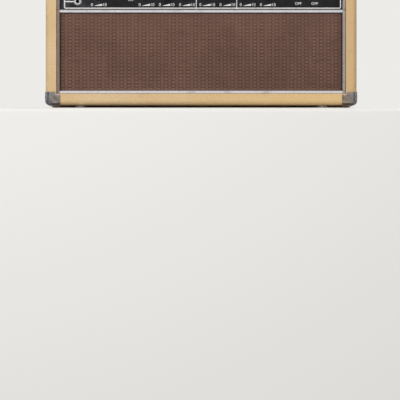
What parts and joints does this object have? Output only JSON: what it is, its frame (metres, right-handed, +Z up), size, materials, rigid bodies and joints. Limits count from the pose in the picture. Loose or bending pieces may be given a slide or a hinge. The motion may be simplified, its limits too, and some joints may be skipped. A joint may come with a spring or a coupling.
{
  "type": "guitar amp head",
  "caption": "Box-shaped valve amplifier head: cream-covered case with metal corners, brown woven grille, black control panel with skirted knobs and toggles, strap handle.",
  "frame": {"origin": "middle of the footprint, on the standing surface under the feet", "axes": "+X to the right seen from the front, the front faces -Y, +Z up"},
  "size_m": [0.6244, 0.2624, 0.306],
  "materials": {
    "boards": "bare birch ply, sanded",
    "covering": "fine-grained cream vinyl",
    "back_board": "ply wrapped in the same cream vinyl",
    "corner_steel": "dull nickel plate",
    "glides": "nickel plate",
    "handle_leather": "dark brown strap, stitched",
    "cap_nickel": "nickel plate",
    "grille_weave": "brown woven grille cloth",
    "bead_metal": "polished half-round bead",
    "black_steel": "black enamel",
    "chassis_aluminium": "plain folded sheet",
    "panel_black": "satin black enamel with white lines",
    "control_metal": "nickel plate",
    "lever_chrome": "polished plate",
    "jewel_red": "clear red lens",
    "knob_black": "moulded black with white figures",
    "shaft_metal": "turned",
    "fitting_black": "moulded black",
    "board_brown": "phenolic board",
    "transformer_iron": "black lacquer",
    "capacitor_can": "plain can",
    "socket_ceramic": "ceramic",
    "valve_base": "brown phenolic",
    "valve_glass": "clear blown glass"
  },
  "bodies": {
    "cabinet": {"left_side_board": "boards", "right_side_board": "boards", "top_board": "boards", "bottom_board": "boards", "vinyl_covering": "covering", "corner_protectors": "corner_steel", "feet": "glides", "handle_strap": "handle_leather", "handle_caps": "cap_nickel", "cleats": "boards", "baffle_board": "boards", "grille_cloth": "grille_weave", "trim_beads": "bead_metal", "back_panel": "back_board", "vent_screen": "black_steel", "chassis": "chassis_aluminium", "chassis_bolts": "corner_steel", "front_panel": "panel_black", "rear_panel": "panel_black", "potentiometers": "control_metal", "input_jacks": "control_metal", "toggle_switches": "control_metal", "pilot_bezel": "control_metal", "pilot_jewel": "jewel_red", "rear_jacks": "control_metal", "mains_inlet": "fitting_black", "fuse_holder": "fitting_black", "selector_switch": "control_metal", "circuit_board": "board_brown", "power_transformer": "transformer_iron", "output_transformer": "transformer_iron", "choke": "transformer_iron", "filter_capacitors": "capacitor_can", "tube_sockets": "socket_ceramic", "power_tube_bases": "valve_base", "power_tube_glass": "valve_glass", "preamp_shields": "chassis_aluminium"},
    "volume_control": {"volume_knob": "knob_black", "volume_shaft": "shaft_metal"},
    "treble_control": {"treble_knob": "knob_black", "treble_shaft": "shaft_metal"},
    "middle_control": {"middle_knob": "knob_black", "middle_shaft": "shaft_metal"},
    "bass_control": {"bass_knob": "knob_black", "bass_shaft": "shaft_metal"},
    "level_control": {"level_knob": "knob_black", "level_shaft": "shaft_metal"},
    "ratio_control": {"ratio_knob": "knob_black", "ratio_shaft": "shaft_metal"},
    "master_control": {"master_knob": "knob_black", "master_shaft": "shaft_metal"},
    "presence_control": {"presence_knob": "knob_black", "presence_shaft": "shaft_metal"},
    "bright_toggle": {"bright_lever": "lever_chrome"},
    "mid_toggle": {"mid_lever": "lever_chrome"},
    "mode_toggle": {"mode_lever": "lever_chrome"},
    "standby_toggle": {"standby_lever": "lever_chrome"},
    "power_toggle": {"power_lever": "lever_chrome"},
    "selector_control": {"selector_knob": "knob_black"},
    "fuse_release": {"fuse_cap": "fitting_black"}
  },
  "joints": [
    {"name": "volume_turn", "type": "hinge", "parent": "cabinet", "child": "volume_control", "pos_m": [-0.2071, -0.112, 0.231], "axis": [0, 1, 0], "range_deg": [-150, 150]},
    {"name": "treble_turn", "type": "hinge", "parent": "cabinet", "child": "treble_control", "pos_m": [-0.1113, -0.112, 0.231], "axis": [0, 1, 0], "range_deg": [-150, 150]},
    {"name": "middle_turn", "type": "hinge", "parent": "cabinet", "child": "middle_control", "pos_m": [-0.0707, -0.112, 0.231], "axis": [0, 1, 0], "range_deg": [-150, 150]},
    {"name": "bass_turn", "type": "hinge", "parent": "cabinet", "child": "bass_control", "pos_m": [-0.0301, -0.112, 0.231], "axis": [0, 1, 0], "range_deg": [-150, 150]},
    {"name": "level_turn", "type": "hinge", "parent": "cabinet", "child": "level_control", "pos_m": [0.0105, -0.112, 0.231], "axis": [0, 1, 0], "range_deg": [-150, 150]},
    {"name": "ratio_turn", "type": "hinge", "parent": "cabinet", "child": "ratio_control", "pos_m": [0.0511, -0.112, 0.231], "axis": [0, 1, 0], "range_deg": [-150, 150]},
    {"name": "master_turn", "type": "hinge", "parent": "cabinet", "child": "master_control", "pos_m": [0.0917, -0.112, 0.231], "axis": [0, 1, 0], "range_deg": [-150, 150]},
    {"name": "presence_turn", "type": "hinge", "parent": "cabinet", "child": "presence_control", "pos_m": [0.1323, -0.112, 0.231], "axis": [0, 1, 0], "range_deg": [-150, 150]},
    {"name": "bright_flip", "type": "hinge", "parent": "cabinet", "child": "bright_toggle", "pos_m": [-0.1771, -0.115, 0.231], "axis": [1, 0, 0], "range_deg": [0, 22]},
    {"name": "mid_flip", "type": "hinge", "parent": "cabinet", "child": "mid_toggle", "pos_m": [-0.1591, -0.115, 0.231], "axis": [1, 0, 0], "range_deg": [0, 22]},
    {"name": "mode_flip", "type": "hinge", "parent": "cabinet", "child": "mode_toggle", "pos_m": [-0.1411, -0.115, 0.231], "axis": [1, 0, 0], "range_deg": [0, 22]},
    {"name": "standby_flip", "type": "hinge", "parent": "cabinet", "child": "standby_toggle", "pos_m": [0.195, -0.1155, 0.231], "axis": [1, 0, 0], "range_deg": [0, 22]},
    {"name": "power_flip", "type": "hinge", "parent": "cabinet", "child": "power_toggle", "pos_m": [0.228, -0.1155, 0.231], "axis": [1, 0, 0], "range_deg": [0, 22]},
    {"name": "selector_turn", "type": "hinge", "parent": "cabinet", "child": "selector_control", "pos_m": [0.12, 0.107, 0.2315], "axis": [0, -1, 0], "range_deg": [-30, 30]},
    {"name": "fuse_cap_turn", "type": "hinge", "parent": "cabinet", "child": "fuse_release", "pos_m": [0.18, 0.107, 0.2315], "axis": [0, 1, 0], "range_deg": [0, 45]}
  ]
}
